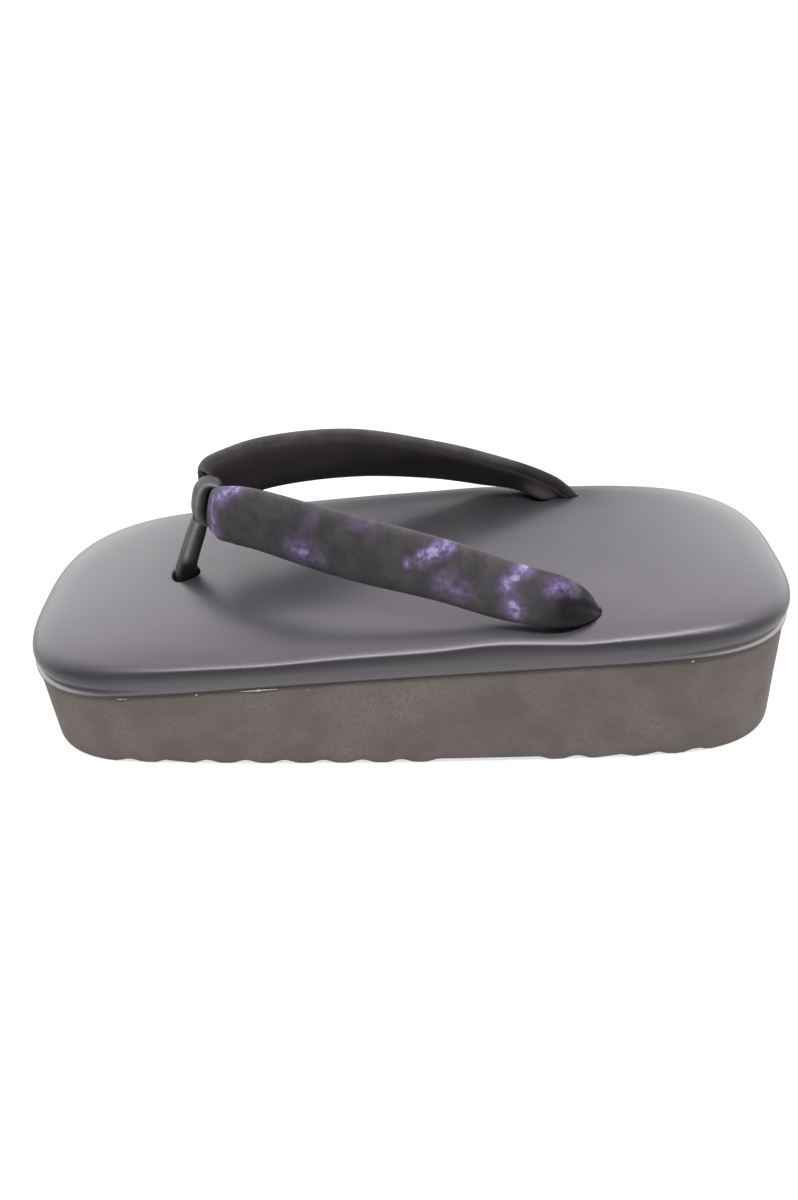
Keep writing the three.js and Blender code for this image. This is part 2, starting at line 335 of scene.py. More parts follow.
def makeSole():
    stations = outlineStations(soleBlock["capSteps"], soleBlock["spacing"])
    edge, steps = soleBlock["edgeRound"], soleBlock["wallSteps"]
    rings = []
    for a in (math.radians(turn) for turn in soleBlock["edgeTurns"]):
        inset, lift = edge * (1 - math.sin(a)), edge * (1 - math.cos(a))
        rings.append(mirroredRing([treadPoint(x, inset, lift) for x in stations]))
    for k in range(1, steps + 1):
        wall = [treadPoint(x, 0, edge).lerp(seamPoint(x, soleBlock["inset"]), k / steps) for x in stations]
        rings.append(mirroredRing(wall))
    for inset in soleBlock["topInsets"]:
        rings.append(mirroredRing([seamPoint(x, inset) for x in stations]))
    # hand-cut foam is never quite even
    walls = rings[len(soleBlock["edgeTurns"]) - 1:-len(soleBlock["topInsets"])]
    for k, ring in enumerate(walls):
        for p in ring:
            bump = noise.noise(p * soleBlock["swells"])
            bump += soleBlock["dentShare"] * noise.noise(p * soleBlock["dents"])
            out = Vector((p.x * soleBlock["aheadShare"], p.y, 0)).normalized()
            p += out * (bump * soleBlock["unevenness"] * math.sin(math.pi * k / steps))
    return meshFromRings("sole_block", rings, soleBlock["sharp"])


def foamMaterial():
    material, tree, shader = newMaterial("sole_foam", {"Roughness": 0.86, "IOR": 1.45})
    cells = cloudMask(tree, *foamLook["cells"])
    tone = colourMix(tree, cloudMask(tree, *foamLook["clouds"]), foamLook["dark"], foamLook["light"])
    tone = colourMix(tree, cloudMask(tree, *foamLook["stains"]), tone, foamLook["stain"])
    tone = colourMix(tree, cells, tone, foamLook["cell"])
    tone = colourMix(tree, cloudMask(tree, *foamLook["specks"]), tone, foamLook["speck"])
    feed(tree, shader.inputs["Base Color"], tone)
    addRelief(tree, shader, cells, *foamLook["relief"])
    return material


# dried glue that was squeezed out of the seam, as mm along the near side
glueSmears = [
    {"from": 50.5, "to": 39.0, "size": 0.42}, {"from": 89.5, "to": 86.0, "size": 0.38},
    {"from": -86.2, "to": -87.2, "size": 0.5}, {"from": 64.5, "to": 63.5, "size": 0.3},
]
glueBead = {
    "sides": 8, "leastSteps": 6, "stepsPerMm": 4, "inset": 0.25, "drop": 0.15, "depth": 0.8, "power": 2.0,
    "thin": 0.45, "lumps": 0.9, "lumpSize": 0.9, "lumpPlace": 3.0, "ends": (0.08, 0.92), "sharp": 70,
}
glueLook = {"clouds": (900.0, 0.3, 0.7), "dark": grey(0.20, 0.06), "light": grey(0.42, 0.06)}


def makeGlue():
    points, faces = [], []
    for smear in glueSmears:
        steps = max(glueBead["leastSteps"], int(abs(smear["from"] - smear["to"]) * glueBead["stepsPerMm"]))
        faces += ringFaces(glueBead["sides"], steps + 1, first=len(points))
        for k in range(steps + 1):
            x, y = planPoint(placeAt(mix(smear["from"], smear["to"], k / steps)), glueBead["inset"])
            lump = abs(noise.noise(Vector((x * glueBead["lumpSize"], y, glueBead["lumpPlace"]))))
            size = smear["size"] * (glueBead["thin"] + glueBead["lumps"] * lump)
            size *= math.sin(math.pi * mix(*glueBead["ends"], k / steps)) ** 0.5
            centre = Vector((x, y, seamHeight(x) - glueBead["drop"]))
            points += ovalRing(centre, upward, nearward, size, size * glueBead["depth"], glueBead["power"],
                               glueBead["sides"])
    return meshObject("seam_glue", points, faces, glueBead["sharp"])


def glueMaterial():
    material, tree, shader = newMaterial("dried_glue", {"Roughness": 0.45, "IOR": 1.48})
    tone = colourMix(tree, cloudMask(tree, *glueLook["clouds"]), glueLook["dark"], glueLook["light"])
    feed(tree, shader.inputs["Base Color"], tone)
    return material


# strap: padded velvet band, squeezed at the fold and drawn into a hole at each tip
strapBand = {
    "power": 2.5, "sides": 60, "spacing": 0.7, "fineSteps": 60, "sharp": 70,
    "puff": 0.12, "puffSize": 0.07, "ruffle": 0.05, "ruffleSize": 0.25,
    "creasedFace": (-0.2, 0.5), "dyedFace": (-0.25, 0.1), "rolledFace": (0.2, -0.6),
}
foldRow = {"x": 60.9, "y": 0.0, "z": 69.2, "half": 5.8, "thick": 1.5, "lean": 14.0}
nearFoldRows = [
    {"x": 60.2, "y": 3.8, "z": 69.0, "half": 6.5, "thick": 2.1, "lean": 14.0},
    {"x": 58.1, "y": 6.8, "z": 69.95, "half": 7.9, "thick": 2.8, "lean": 13.0},
    {"x": 56.3, "y": 9.3, "z": 71.0, "half": 8.6, "thick": 3.2, "lean": 11.0},
    {"x": 52.7, "y": 12.1, "z": 72.25, "half": 9.35, "thick": 3.2, "lean": 8.0},
]
farFoldRows = [
    {"x": 61.9, "y": 3.6, "z": 69.1, "half": 5.9, "thick": 2.0, "lean": 13.0},
    {"x": 64.5, "y": 6.8, "z": 69.4, "half": 8.5, "thick": 2.5, "lean": 7.0},
    {"x": 62.7, "y": 10.0, "z": 70.5, "half": 9.6, "thick": 2.9, "lean": 5.0},
    {"x": 56.4, "y": 12.9, "z": 72.1, "half": 10.0, "thick": 3.2, "lean": 5.5},
]
armRows = [
    {"x": 45.2, "y": 17.0, "z": 74.0, "half": 10.0, "thick": 3.2, "lean": 6.7},
    {"x": 18.3, "y": 27.4, "z": 71.5, "half": 10.1, "thick": 3.2, "lean": 12.3},
    {"x": -11.7, "y": 32.5, "z": 65.6, "half": 9.2, "thick": 3.2, "lean": 23.9},
    {"x": -31.0, "y": 35.2, "z": 60.0, "half": 8.7, "thick": 3.2, "lean": 31.5},
]
nearTipRows = [
    {"x": -44.6, "y": 36.0, "z": 56.9, "half": 7.9, "thick": 3.1, "lean": 37.2},
    {"x": -52.4, "y": 34.3, "z": 53.5, "half": 6.0, "thick": 2.9, "lean": 42.0},
    {"x": -55.6, "y": 33.4, "z": 51.4, "half": 3.9, "thick": 2.5, "lean": 45.0},
    {"x": -58.0, "y": 32.6, "z": 49.8, "half": 2.0, "thick": 1.6, "lean": 45.0},
    {"x": -59.8, "y": 32.0, "z": 47.8, "half": 1.2, "thick": 1.1, "lean": 45.0},
    {"x": -61.6, "y": 31.6, "z": 44.8, "half": 1.0, "thick": 0.9, "lean": 45.0},
]
farTipRows = [
    {"x": -44.6, "y": 36.0, "z": 56.3, "half": 7.2, "thick": 3.1, "lean": 37.2},
    {"x": -55.4, "y": 35.8, "z": 52.4, "half": 5.2, "thick": 2.9, "lean": 42.0},
    {"x": -59.2, "y": 34.8, "z": 50.7, "half": 3.7, "thick": 2.5, "lean": 45.0},
    {"x": -61.9, "y": 34.0, "z": 49.5, "half": 2.0, "thick": 1.6, "lean": 45.0},
    {"x": -63.8, "y": 33.4, "z": 48.0, "half": 1.2, "thick": 1.1, "lean": 45.0},
    {"x": -65.8, "y": 32.8, "z": 44.8, "half": 1.0, "thick": 0.9, "lean": 45.0},
]
# soft creases, by distance from the fold in mm and place across: -1 is the low edge, 1 the high edge
foldCreases = [
    {"reach": 8.6, "length": 1.2, "across": 0.2, "width": 0.8, "depth": 0.45},
    {"reach": 13.0, "length": 1.6, "across": -0.5, "width": 0.6, "depth": 0.25},
]
tipCreases = [{"across": -0.12, "width": 0.25, "depth": 0.45}, {"across": 0.55, "width": 0.18, "depth": 0.2}]
tipReach = (112.0, 132.0)
# the far end is gathered into a roll that swells inward over the cover, by mm along from the fold
farRoll = {"along": -131.0, "length": 7.0, "across": -0.15, "width": 0.55, "swell": 5.4}
# painted shade on the nap: the loop's shadow in the squeezed fold and the crease shade in the near end's
# pinch; the nap is also darker towards both ends
paintedNapShade = {
    "ends": (106.0, 124.0), "endShare": 0.75, "fold": 4.0, "foldLength": 2.6, "foldShare": 0.8,
    "pinch": (116.0, 123.0), "pinchAcross": -0.25, "pinchWidth": 0.45, "pinchShare": 0.6,
}
# dyed strokes of the outer face: mm along from the fold and place across, and width in mm
nearDye = [
    {"from": (11.0, 0.50), "to": (20.5, 0.95), "width": 2.4, "strength": 1.0},
    {"from": (9.4, 0.20), "to": (8.8, -0.70), "width": 3.0, "strength": 0.95},
    {"from": (41.0, -0.42), "to": (43.5, -0.40), "width": 3.8, "strength": 0.85},
    {"from": (45.5, -0.45), "to": (48.0, -0.50), "width": 2.8, "strength": 0.5},
    {"from": (42.6, 0.20), "to": (44.6, 0.75), "width": 2.2, "strength": 0.26},
    {"from": (55.5, 0.80), "to": (61.0, 0.86), "width": 1.8, "strength": 0.30},
    {"from": (73.4, 0.06), "to": (74.0, 0.10), "width": 1.5, "strength": 0.9},
    {"from": (77.0, 0.32), "to": (83.0, 0.85), "width": 2.4, "strength": 1.15},
    {"from": (85.0, -0.25), "to": (91.0, -0.45), "width": 3.6, "strength": 0.55},
    {"from": (102.4, 0.20), "to": (107.5, 0.95), "width": 2.5, "strength": 0.95},
    {"from": (105.6, -0.30), "to": (107.6, -0.65), "width": 2.4, "strength": 1.05},
    {"from": (108.2, -0.70), "to": (109.8, -1.00), "width": 1.2, "strength": 1.0},
    {"from": (115.7, 0.45), "to": (122.5, 0.60), "width": 2.6, "strength": 0.75},
]
farDye = [
    {"from": (12.0, -0.30), "to": (15.0, 0.20), "width": 2.6, "strength": 0.8},
    {"from": (30.0, 0.45), "to": (36.0, 0.20), "width": 3.0, "strength": 0.9},
    {"from": (52.0, -0.50), "to": (54.5, -0.20), "width": 3.6, "strength": 0.8},
    {"from": (66.0, 0.60), "to": (70.0, 0.75), "width": 2.2, "strength": 0.6},
    {"from": (84.0, 0.00), "to": (90.0, 0.50), "width": 2.6, "strength": 1.0},
    {"from": (98.0, -0.60), "to": (102.0, -0.25), "width": 2.8, "strength": 0.8},
    {"from": (116.0, 0.20), "to": (121.0, 0.45), "width": 2.4, "strength": 0.7},
]
velvetLook = {
    "haze": (170.0, 0.34, 0.70), "dark": (0.022, 0.020, 0.022, 1), "light": (0.051, 0.046, 0.050, 1),
    "pile": (2600.0, 0.3, 0.7), "nap": (0.035, 0.032, 0.035, 1), "relief": (0.35, 0.0002),
    "paintedShade": (0.005, 0.004, 0.005, 1), "blotches": (420.0, 0.28, 0.70), "evenDye": 0.22,
    "stain": (0.04, 0.85), "violet": (0.105, 0.078, 0.165, 1),
    "core": (0.55, 1.25), "lilac": (0.22, 0.176, 0.305, 1),
}


def strapStations(spacing):
    # even stations along the band, from the far tip round the fold to the near tip
    farRows = [dict(row, y=-row["y"]) for row in farFoldRows + armRows + farTipRows]
    rows = farRows[::-1] + [foldRow] + nearFoldRows + armRows + nearTipRows
    path = [Vector((r["x"], r["y"], r["z"])) for r in rows]
    columns = [Vector((r["half"], r["thick"], r["lean"])) for r in rows]
    fine = (len(rows) - 1) * strapBand["fineSteps"]
    reach, lengths = 0.0, [0.0]
    for k in range(fine):
        reach += (curveAt(path, (k + 1) / fine)[0] - curveAt(path, k / fine)[0]).length
        lengths.append(reach)
    foldLength = lengths[len(farRows) * strapBand["fineSteps"]]
    stations, k = [], 0
    count = round(reach / spacing)
    for i in range(count + 1):
        wanted = reach * i / count
        while k < fine - 1 and lengths[k + 1] < wanted:
            k += 1
        t = (k + clamp((wanted - lengths[k]) / (lengths[k + 1] - lengths[k]))) / fine
        centre, along = curveAt(path, t)
        half, thick, lean = curveAt(columns, t)[0]
        along.normalize()
        outward = Vector((along.y, -along.x, 0)).normalized()
        wide = upward * math.cos(math.radians(lean)) - outward * math.sin(math.radians(lean))
        wide = (wide - along * wide.dot(along)).normalized()
        stations.append({"centre": centre, "wide": wide, "thin": along.cross(wide),
                         "half": half, "thick": thick, "length": wanted - foldLength})
    return stations


def creaseDepth(length, across):
    reach = abs(length)
    fold = sum(c["depth"] * bell(reach - c["reach"], c["length"]) * bell(across - c["across"], c["width"])
               for c in foldCreases)
    tip = sum(c["depth"] * bell(across - c["across"], c["width"]) for c in tipCreases)
    return fold + smooth(*tipReach, reach) * tip


def rollSwell(length, across):
    swell = farRoll["swell"] * bell(length - farRoll["along"], farRoll["length"])
    return nearward * (swell * bell(across - farRoll["across"], farRoll["width"]))


# painted shade along the strap: at the fold, in the near end's pinch and towards both ends
def paintedNapShadeAt(length, across):
    ends = paintedNapShade["endShare"] * smooth(*paintedNapShade["ends"], abs(length))
    fold = paintedNapShade["foldShare"] * bell(abs(length) - paintedNapShade["fold"], paintedNapShade["foldLength"])
    pinch = paintedNapShade["pinchShare"] * smooth(*paintedNapShade["pinch"], length)
    pinch *= bell(across - paintedNapShade["pinchAcross"], paintedNapShade["pinchWidth"])
    return min(1.0, ends + fold + pinch)


def dyeAt(length, across, half):
    spot = Vector((abs(length), across * half))
    dye = 0.0
    for stroke in nearDye if length > 0 else farDye:
        start = Vector((stroke["from"][0], stroke["from"][1] * half))
        run = Vector((stroke["to"][0], stroke["to"][1] * half)) - start
        share = clamp((spot - start).dot(run) / run.length_squared)
        dye = max(dye, stroke["strength"] * bell((spot - start - run * share).length, stroke["width"]))
    return dye


def makeStrap():
    stations = strapStations(strapBand["spacing"])
    rings, dye, paintedShade = [], [], []
    for station in stations:
        wide, thin, length = station["wide"], station["thin"], station["length"]
        ring = ovalRing(station["centre"], wide, thin, station["half"], station["thick"], strapBand["power"],
                        strapBand["sides"])
        for p in ring:
            offset = p - station["centre"]
            across = offset.dot(wide) / station["half"]
            outer = offset.dot(thin) / station["thick"]
            puff = strapBand["puff"] * noise.noise(p * strapBand["puffSize"])
            puff += strapBand["ruffle"] * noise.noise(p * strapBand["ruffleSize"])
            sink = creaseDepth(length, across) * smooth(*strapBand["creasedFace"], outer)
            p += thin * (outer * puff - sink)
            p += rollSwell(length, across) * smooth(*strapBand["rolledFace"], outer)
            dye.append(dyeAt(length, across, station["half"]) * smooth(*strapBand["dyedFace"], outer))
            paintedShade.append(paintedNapShadeAt(length, across))
        rings.append(ring)
    piece = meshFromRings("strap_velvet", rings, strapBand["sharp"])
    paintPoints(piece, "dye", dye)
    paintPoints(piece, "paintedShade", paintedShade)
    return piece, stations


def velvetMaterial():
    material, tree, shader = newMaterial("strap_velvet", {
        "Roughness": 0.9, "Sheen Weight": 0.06, "Sheen Roughness": 0.5, "Sheen Tint": (0.9, 0.87, 0.9, 1.0),
        "IOR": 1.4, "Specular IOR Level": 0.12})
    pile = cloudMask(tree, *velvetLook["pile"])
    tone = colourMix(tree, cloudMask(tree, *velvetLook["haze"]), velvetLook["dark"], velvetLook["light"])
    tone = colourMix(tree, pile, tone, velvetLook["nap"])
    # painted shade: darker nap at the fold, in the near end's pinch and towards both ends
    tone = colourMix(tree, painted(tree, "paintedShade"), tone, velvetLook["paintedShade"])
    broken = mathNode(tree, "ADD", cloudMask(tree, *velvetLook["blotches"]), velvetLook["evenDye"])
    strength = mathNode(tree, "MULTIPLY", painted(tree, "dye"), broken)
    core = rangeNode(tree, strength, *velvetLook["core"])
    violet = colourMix(tree, core, velvetLook["violet"], velvetLook["lilac"])
    tone = colourMix(tree, rangeNode(tree, strength, *velvetLook["stain"]), tone, violet)
    feed(tree, shader.inputs["Base Color"], tone)
    addRelief(tree, shader, pile, *velvetLook["relief"])
    return material


# lining: plain layer on the strap's inner face, tucked under the velvet's turned edge by a row of stitches
lining = {
    "reach": 0.9, "lift": 0.28, "thick": 0.5, "stop": 12, "columns": 22, "sharp": 70, "edge": (0.86, 1.0),
    "tuck": -0.25, "stitchDepth": 0.10, "stitchPitch": 3.2, "ripple": 0.08, "rippleSize": 0.12,
}
liningLook = {
    "haze": (90.0, 0.35, 0.7), "dark": (0.020, 0.015, 0.016, 1), "light": (0.028, 0.022, 0.023, 1),
    "weave": (2200.0, 0.3, 0.7), "relief": (0.3, 0.0001),
}


def makeLining(stations):
    rings, power = [], strapBand["power"]
    for station in stations[lining["stop"]:-lining["stop"]]:
        wide, thin, length = station["wide"], station["thin"], station["length"]
        row = []
        for j in range(lining["columns"] + 1):
            across = mix(-1, 1, j / lining["columns"]) * lining["reach"]
            inner = max(0.0, 1 - abs(across) ** power) ** (1 / power)
            edge = 1 - smooth(*lining["edge"], abs(across) / lining["reach"])
            stitch = math.cos(2 * math.pi * length / lining["stitchPitch"])
            sunk = lining["stitchDepth"] * (1 - edge) * stitch
            lift = station["thick"] * inner + mix(lining["tuck"], lining["lift"], edge) - sunk
            p = station["centre"] + wide * (across * station["half"]) - thin * lift
            p += rollSwell(length, across)
            row.append(p + thin * (lining["ripple"] * noise.noise(p * lining["rippleSize"])))
        rings.append(row + [p + thin * lining["thick"] for p in reversed(row)])
    return meshFromRings("strap_lining", rings, lining["sharp"])


def liningMaterial():
    material, tree, shader = newMaterial("strap_lining", {
        "Roughness": 0.8, "Sheen Weight": 0.08, "IOR": 1.4, "Specular IOR Level": 0.2})
    tone = colourMix(tree, cloudMask(tree, *liningLook["haze"]), liningLook["dark"], liningLook["light"])
    feed(tree, shader.inputs["Base Color"], tone)
    addRelief(tree, shader, cloudMask(tree, *liningLook["weave"]), *liningLook["relief"])
    return material


# front thong: leather cord looped round the fold, and its stalk
thongCord = {
    "front": 2.35, "rear": 0.55, "thinning": 2.4, "across": 2.6, "gap": 0.15, "foldRise": 0.6,
    "foldSkew": 0.3, "power": 3.0, "loopSection": 3.4, "stalkSection": 3.6, "turn": 26.0,
    "sides": 36, "loopSteps": 84, "stalkSteps": 9, "sharp": 70,
}
# painted highlight on the thong's flat, strongest on the loop's front; down the stalk it fades out, leaving
# painted shade at the foot in the hole
thongHighlight = {"turn": 56.0, "spread": 0.5, "rear": 0.10, "front": 0.62, "stalk": 0.8, "stalkFrom": (46.4, 50.4)}
stalkRows = [
    {"x": 66.0, "z": 63.0, "along": 2.2, "across": 2.7},
    {"x": 67.8, "z": 58.4, "along": 2.6, "across": 2.9},
    {"x": 70.1, "z": 52.8, "along": 2.7, "across": 3.0},
    {"x": 72.2, "z": 47.2, "along": 2.8, "across": 3.1},
    {"x": 73.8, "z": 42.0, "along": 3.3, "across": 3.3},
    {"x": 74.2, "z": 38.0, "along": 3.4, "across": 3.3},
    {"x": 74.2, "z": 33.5, "along": 3.2, "across": 3.2},
]
thongLook = {
    "grain": 1400.0, "relief": (0.2, 0.0001), "wear": (300.0, -0.1, 0.6),
    "dark": grey(0.007), "highlightTone": grey(0.22), "roughness": (0.29, 0.40),
}


def turnedRing(centre, wide, half, thick, section, turn):
    # the flat of the leather looks a little sideways
    c, s = math.cos(math.radians(turn)), math.sin(math.radians(turn))
    return ovalRing(centre, wide * c + nearward * s, nearward * c - wide * s, half, thick, section,
                    thongCord["sides"])


def highlightFace(strength):
    # painted highlight: the flat that looks ahead and to the near side is painted lighter than the turned
    # edges
    turns = [2 * math.pi * i / thongCord["sides"] for i in range(thongCord["sides"])]
    middle = math.radians(thongHighlight["turn"])
    return [strength * bell(math.remainder(a - middle, 2 * math.pi), thongHighlight["spread"]) for a in turns]


def makeLoop():
    lean = math.radians(foldRow["lean"])
    up = Vector((-math.sin(lean), 0, math.cos(lean)))
    ahead = Vector((math.cos(lean), 0, math.sin(lean)))
    centre = Vector((foldRow["x"], 0, foldRow["z"]))
    power = thongCord["power"]
    rings, paintedHighlight = [], []
    for k in range(thongCord["loopSteps"]):
        angle = 2 * math.pi * k / thongCord["loopSteps"]
        c, s = math.cos(angle), math.sin(angle)
        front = (1 + c) / 2
        cord = mix(thongCord["rear"], thongCord["front"], front ** thongCord["thinning"])
        reachX = foldRow["thick"] + thongCord["foldSkew"] + thongCord["gap"] + cord
        reachZ = foldRow["half"] + thongCord["foldRise"] + thongCord["gap"] + cord
        x, z = reachX * signedPower(c, 2 / power), reachZ * signedPower(s, 2 / power)
        outX = signedPower(x / reachX, power - 1) / reachX
        outZ = signedPower(z / reachZ, power - 1) / reachZ
        out = (ahead * outX + up * outZ).normalized()
        rings.append(turnedRing(centre + ahead * x + up * z, out, cord, thongCord["across"],
                                thongCord["loopSection"], thongCord["turn"] * front ** 2))
        paintedHighlight += highlightFace(thongHighlight["rear"] + thongHighlight["front"] * front ** 2)
    piece = meshFromRings("thong_loop", rings, thongCord["sharp"], looped=True)
    paintPoints(piece, "paintedHighlight", paintedHighlight)
    return piece


def makeStalk():
    path = [Vector((r["x"], 0, r["z"])) for r in stalkRows]
    sizes = [Vector((r["along"], r["across"], 0)) for r in stalkRows]
    steps = (len(path) - 1) * thongCord["stalkSteps"]
    rings, paintedHighlight = [], []
    for k in range(steps + 1):
        place, along = curveAt(path, k / steps)
        along.normalize()
        ahead = Vector((-along.z, 0, along.x))
        size = curveAt(sizes, k / steps)[0]
        rings.append(turnedRing(place, ahead, size.x, size.y, thongCord["stalkSection"], thongCord["turn"]))
        # the painted highlight fades out towards the hole, leaving painted shade on the stalk's foot
        paintedHighlight += highlightFace(thongHighlight["stalk"] * smooth(*thongHighlight["stalkFrom"], place.z))
    piece = meshFromRings("thong_stalk", rings, thongCord["sharp"])
    paintPoints(piece, "paintedHighlight", paintedHighlight)
    return piece


def thongMaterial():
    material, tree, shader = newMaterial("thong_leather", {"IOR": 1.42, "Specular IOR Level": 0.35})
    wear = cloudMask(tree, *thongLook["wear"])
    face = mathNode(tree, "MULTIPLY", painted(tree, "paintedHighlight"), wear)
    # painted highlight on the leather's flat, broken up by the wear clouds
    feed(tree, shader.inputs["Base Color"], colourMix(tree, face, thongLook["dark"], thongLook["highlightTone"]))
    feed(tree, shader.inputs["Roughness"], rangeNode(tree, wear, 0.0, 1.0, *thongLook["roughness"]))
    addRelief(tree, shader, leatherGrain(tree, thongLook["grain"]), *thongLook["relief"])
    return material


# footbed: padded board under a vinyl cover
footbedPad = {
    "capSteps": 44, "spacing": 1.7, "profileSteps": 4, "sharp": 60, "endBlend": (62.0, 102.0),
    "shoulder": (3.5, 9.5), "inland": (6.0, 22.0), "drawnAbove": (6.0, 10.0),
}
# outline of the edge from the seam up, as inset and height in mm: a ridge along the sides and a plain
# dome round the ends
edgeProfile = [
    {"side": (2.2, 0.3), "end": (2.2, 0.3)}, {"side": (1.0, 0.3), "end": (1.0, 0.3)},
    {"side": (0.25, 0.45), "end": (0.2, 0.4)}, {"side": (0.0, 0.8), "end": (-0.05, 0.65)},
    {"side": (0.05, 1.15), "end": (0.1, 0.95)}, {"side": (0.15, 1.6), "end": (0.9, 1.5)},
    {"side": (0.1, 2.3), "end": (1.1, 1.9)}, {"side": (-0.1, 3.4), "end": (0.75, 3.2)},
    {"side": (-0.15, 4.8), "end": (0.35, 4.8)}, {"side": (0.25, 6.3), "end": (0.35, 6.3)},
    {"side": (0.85, 7.6), "end": (0.9, 7.8)}, {"side": (1.5, 8.75), "end": (2.0, 9.1)},
    {"side": (2.6, 9.45), "end": (4.0, 10.3)}, {"side": (4.6, 10.15), "end": (7.0, 11.1)},
    {"side": (8.6, 11.2), "end": (10.5, 11.7)}, {"side": (18.0, 12.3), "end": (18.0, 12.3)},
    {"side": (32.0, 12.8), "end": (32.0, 12.8)}, {"side": (44.5, 12.9), "end": (44.5, 12.9)},
]
# where the shoulder rides up or sinks, in mm: side 1 is near, side -1 is far
shoulderWaves = [
    {"x": -26.0, "side": 1, "lift": 1.2, "spread": 14.0},
    {"x": 44.0, "side": 1, "lift": -0.8, "spread": 20.0},
    {"x": -52.0, "side": 1, "lift": -0.4, "spread": 9.0},
    {"x": -30.0, "side": -1, "lift": 0.7, "spread": 15.0},
    {"x": 36.0, "side": -1, "lift": -0.5, "spread": 24.0},
]
# where the cover is drawn down round its holes, pressed by the strap, and slit for the front thong, in mm
drawnHoles = [
    {"x": -56.0, "y": 33.5, "depth": 0.5, "spread": 8.0},
    {"x": -59.5, "y": -34.5, "depth": 0.5, "spread": 8.0},
    {"x": 73.8, "y": 0.0, "depth": 0.2, "spread": 7.0},
]
holeCentres = [Vector(((h["x"] + middleShift) * mm, h["y"] * mm)) for h in drawnHoles]
press = {"sink": 0.35, "refine": (12.0, 9.0, 7.0), "facing": 0.3, "above": 30.0, "around": 30.0, "top": 200.0,
         "easeRounds": 2, "ease": 0.5}
slit = {"x": 73.9, "halfLength": 4.7, "halfWidth": 4.4, "power": 3.0, "depth": 3.4, "rim": 0.9}
# by row of the edge's outline: a painted highlight on the lip at toe and heel, and painted light on the side
# from under the ridge down to the lip, less so round the toe
paintedLipHighlight = {"row": 4.6, "spread": 0.85, "ends": (84.0, 116.0)}
# painted light on the side band, from under the ridge down to the lip, less round the toe
paintedSideLight = {"ridge": (11.2, 5.6), "seam": (4.0, 4.9), "share": 0.40, "toe": (80.0, 104.0), "toeLoss": 0.8}
vinylLook = {
    "handling": (38.0, 0.3, 0.75), "dark": (0.015, 0.0145, 0.0165, 1), "light": (0.020, 0.0195, 0.0215, 1),
    "paintedLight": grey(0.18, 0.02, 0.06), "scuffs": (260.0, 0.55, 0.8), "roughness": (0.34, 0.40),
    "grain": 900.0, "relief": (0.09, 0.00008),
}


def coverPoint(x, inset, height, side):
    px, py = planPoint(placeAt(x), inset)
    share = smooth(*footbedPad["shoulder"], height) * (1 - smooth(*footbedPad["inland"], inset))
    waves = [w for w in shoulderWaves if w["side"] == side]
    lift = sum(w["lift"] * bell(px - w["x"], w["spread"]) for w in waves) * share
    drawn = sum(h["depth"] * bell(math.hypot(px - h["x"], side * py - h["y"]), h["spread"])
                for h in drawnHoles)
    drawn *= smooth(*footbedPad["drawnAbove"], height)
    return Vector((px, side * py, seamHeight(px) + height + lift - drawn))


# painted highlight on the lip and painted light on the side band, by row of the edge's outline
def paintedLightAt(row, x):
    lip = bell(row - paintedLipHighlight["row"], paintedLipHighlight["spread"]) * smooth(*paintedLipHighlight["ends"], abs(x))
    dull = paintedSideLight["share"] * smooth(*paintedSideLight["ridge"], row) * smooth(*paintedSideLight["seam"], row)
    return max(lip, dull * (1 - paintedSideLight["toeLoss"] * smooth(*paintedSideLight["toe"], x)))


def holeDistance(point):
    return min((point.xy - centre).length for centre in holeCentres)


def refineHoles(shell):
    for radius in press["refine"]:
        near = [f for f in shell.faces
                if f.normal.z > press["facing"] and holeDistance(f.calc_center_median()) < radius * mm]
        edges = dict.fromkeys(e for f in near for e in f.edges)
        bmesh.ops.subdivide_edges(shell, edges=list(edges), cuts=1, use_grid_fill=True)
    shell.normal_update()


def pressUnder(shell, strapTree):
    moved = []
    for v in shell.verts:
        if v.co.z < press["above"] * mm or holeDistance(v.co) > press["around"] * mm:
            continue
        low = strapTree.ray_cast(Vector((v.co.x, v.co.y, 0.0)), upward)[0]
        high = strapTree.ray_cast(Vector((v.co.x, v.co.y, press["top"] * mm)), -upward)[0]
        if low and high.z > v.co.z and low.z - press["sink"] * mm < v.co.z:
            v.co.z = low.z - press["sink"] * mm
            moved.append(v)
    return moved


def cutSlit(shell):
    c, s = math.cos(math.radians(thongCord["turn"])), math.sin(math.radians(thongCord["turn"]))
    for v in shell.verts:
        x, y = v.co.x / mm - middleShift - slit["x"], v.co.y / mm
        long, wide = abs(x * c + y * s) / slit["halfLength"], abs(y * c - x * s) / slit["halfWidth"]
        reach = (long ** slit["power"] + wide ** slit["power"]) ** (1 / slit["power"])
        if v.co.z > press["above"] * mm and reach < 1:
            v.co.z -= slit["depth"] * mm * smooth(0, slit["rim"] / slit["halfWidth"], 1 - reach)


def easeAround(moved):
    around = {e.other_vert(v) for v in moved for e in v.link_edges} - set(moved)
    for _ in range(press["easeRounds"]):
        means = {v: sum(e.other_vert(v).co.z for e in v.link_edges) / len(v.link_edges) for v in around}
        for v, z in means.items():
            v.co.z = min(v.co.z, mix(v.co.z, z, press["ease"]))


def pressCover(piece, strapTree):
    # the cover gives way under the strap, and is slit for the thong
    shell = bmesh.new()
    shell.from_mesh(piece.data)
    refineHoles(shell)
    moved = pressUnder(shell, strapTree)
    cutSlit(shell)
    easeAround(moved)
    print("cover pressed at", len(moved), "points")
    shell.to_mesh(piece.data)
    shell.free()
    piece.data.polygons.foreach_set("use_smooth", [True] * len(piece.data.polygons))


